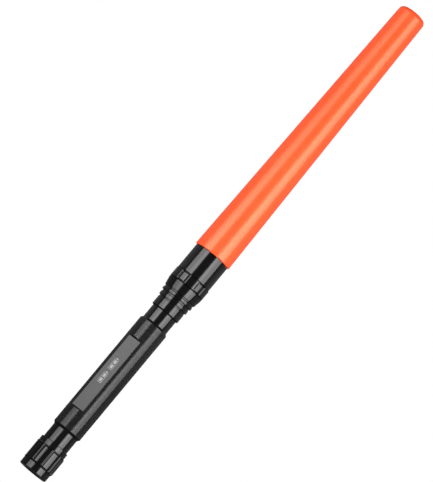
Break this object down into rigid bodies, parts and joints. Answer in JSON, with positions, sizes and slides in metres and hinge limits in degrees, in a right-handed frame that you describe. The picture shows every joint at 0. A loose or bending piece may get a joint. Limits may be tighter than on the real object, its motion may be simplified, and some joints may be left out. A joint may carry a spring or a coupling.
{
  "type": "traffic baton light",
  "caption": "Straight knurled torch with a screw-off head and tail cap, a recessed tail button, and a tapered orange signalling wand pushed into its front rim.",
  "frame": {"origin": "centre of the tail cap's flat end face", "axes": "+Z along the baton from the tail to the wand's tip, -Y out of the flat along the handle"},
  "size_m": [0.0326, 0.0326, 0.466],
  "materials": {
    "black_anodised": "satin hard anodising, glossy on plain bands",
    "orange_plastic": "translucent, smooth moulded, satin gloss",
    "black_rubber": "matte moulded silicone",
    "seal_rubber": "smooth nitrile",
    "white_nylon": "turned nylon",
    "black_plastic": "moulded",
    "red_plastic": "moulded",
    "spring_steel": "plated wire",
    "circuit_board": "solder mask",
    "star_board": "white solder mask on aluminium",
    "brass": "turned",
    "yellow_phosphor": "phosphor under a clear dome",
    "mirror_aluminium": "vapour-coated mirror",
    "clear_glass": "polished, coated",
    "cell_can": "nickel plated",
    "cell_film": "shrink film"
  },
  "bodies": {
    "handle": {"body_tube": "black_anodised", "rear_cell": "cell_can", "rear_cell_wrap": "cell_film", "front_cell": "cell_can", "front_cell_wrap": "cell_film", "driver_spring": "spring_steel", "driver_board": "circuit_board", "driver_components": "black_plastic", "led_pill": "brass", "pill_spring": "spring_steel", "led_leads": "red_plastic", "led_board": "star_board", "led_gasket": "white_nylon", "led_emitter": "yellow_phosphor", "reflector": "mirror_aluminium"},
    "head_seal": {"head_o_ring": "seal_rubber"},
    "head": {"head_shell": "black_anodised", "lens": "clear_glass", "lens_o_ring": "seal_rubber"},
    "wand": {"wand_cone": "orange_plastic"},
    "tail_seal": {"tail_o_ring": "seal_rubber"},
    "tail_cap": {"tail_cap": "black_anodised", "boot": "black_rubber", "boot_washer": "white_nylon", "switch_spacer": "white_nylon", "switch_case": "black_plastic", "switch_spring": "spring_steel", "switch_board": "circuit_board", "switch_retainer": "brass", "tail_spring": "spring_steel"},
    "button": {"switch_plunger": "red_plastic"}
  },
  "joints": [
    {"name": "head_turn", "type": "hinge", "parent": "handle", "child": "head_seal", "pos_m": [0, 0, 0.188], "axis": [0, 0, 1], "range_deg": [0, 2520]},
    {"name": "head_travel", "type": "slide", "parent": "head_seal", "child": "head", "axis": [0, 0, 1], "range_m": [0, 0.0071]},
    {"name": "wand_pull", "type": "slide", "parent": "head", "child": "wand", "axis": [0, 0, 1], "range_m": [0, 0.03]},
    {"name": "tail_turn", "type": "hinge", "parent": "handle", "child": "tail_seal", "pos_m": [0, 0, 0.025], "axis": [0, 0, -1], "range_deg": [0, 2520]},
    {"name": "tail_travel", "type": "slide", "parent": "tail_seal", "child": "tail_cap", "axis": [0, 0, -1], "range_m": [0, 0.0071]},
    {"name": "switch_press", "type": "slide", "parent": "tail_cap", "child": "button", "axis": [0, 0, 1], "range_m": [0, 0.002], "stiffness_N_per_m": 600, "springref_m": -0.002, "deforming": ["boot", "switch_spring"]}
  ],
  "couplings": [
    {"joint": "head_travel", "follows": "head_turn", "m_per_rad": 0.00015915},
    {"joint": "tail_travel", "follows": "tail_turn", "m_per_rad": 0.00015915}
  ]
}
